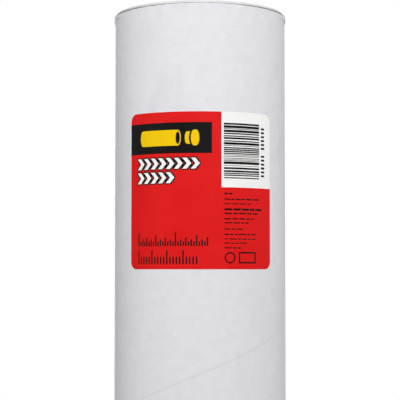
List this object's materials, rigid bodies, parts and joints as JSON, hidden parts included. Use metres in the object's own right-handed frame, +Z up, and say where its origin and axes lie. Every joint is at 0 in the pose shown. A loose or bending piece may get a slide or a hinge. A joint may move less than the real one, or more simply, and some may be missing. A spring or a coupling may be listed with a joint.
{
  "type": "mailing tube",
  "caption": "White spiral-wound paperboard mailing tube with a recessed push-in plastic plug in each end and a paper label wrapped round its front.",
  "frame": {"origin": "middle of the lower plug's resting face, on the surface that the tube stands on", "axes": "+Z up along the tube's axis; -Y out of the tube's front, where the label is; +X to the right of someone who faces the label"},
  "size_m": [0.1075, 0.1076, 1.2224],
  "materials": {
    "paperboard": "matte",
    "polyethylene": "satin",
    "label_paper": "satin"
  },
  "bodies": {
    "bottom_cap": {"bottom_cap": "polyethylene"},
    "tube": {"tube": "paperboard", "label": "label_paper"},
    "top_cap": {"top_cap": "polyethylene"}
  },
  "joints": [
    {"name": "bottom_cap_release", "type": "slide", "parent": "bottom_cap", "child": "tube", "axis": [0, 0, 1], "range_m": [0, 0.06]},
    {"name": "top_cap_pull", "type": "slide", "parent": "tube", "child": "top_cap", "axis": [0, 0, 1], "range_m": [0, 0.06]}
  ]
}
